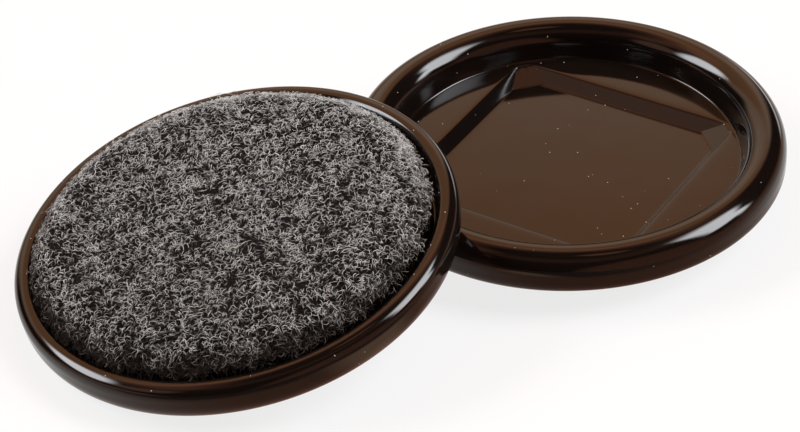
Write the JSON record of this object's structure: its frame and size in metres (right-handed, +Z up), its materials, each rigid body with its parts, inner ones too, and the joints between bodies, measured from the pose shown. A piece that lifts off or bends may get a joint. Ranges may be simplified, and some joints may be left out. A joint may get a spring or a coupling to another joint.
{
  "type": "caster cup",
  "caption": "Glossy moulded caster cup with a full-round rim, a square dish in its round recess and a carpet pad beneath, shown with its overturned twin leaning on the rim.",
  "frame": {"origin": "centre of the upright cup's carpet pad, on the floor it stands on", "axes": "+Z up along the upright cup's axis, X and Y parallel to the sides of its square dish; the second cup leans on the rim towards -X and -Y"},
  "size_m": [0.112, 0.1327, 0.0232],
  "materials": {
    "moulded_plastic": "polished dark brown moulded plastic",
    "carpet": "grey and brown needle-punched carpet with loose curly fibres",
    "adhesive": "set adhesive film, hidden"
  },
  "bodies": {
    "upright_cup": {"upright_moulding": "moulded_plastic", "upright_adhesive": "adhesive", "upright_pad": "carpet"},
    "leaning_cup": {"leaning_moulding": "moulded_plastic", "leaning_adhesive": "adhesive", "leaning_pad": "carpet"}
  },
  "joints": [
    {"name": "leaning_cup_lift", "type": "slide", "parent": "upright_cup", "child": "leaning_cup", "axis": [-0.3726, -0.601, 0.7071], "range_m": [0, 0.06]}
  ]
}
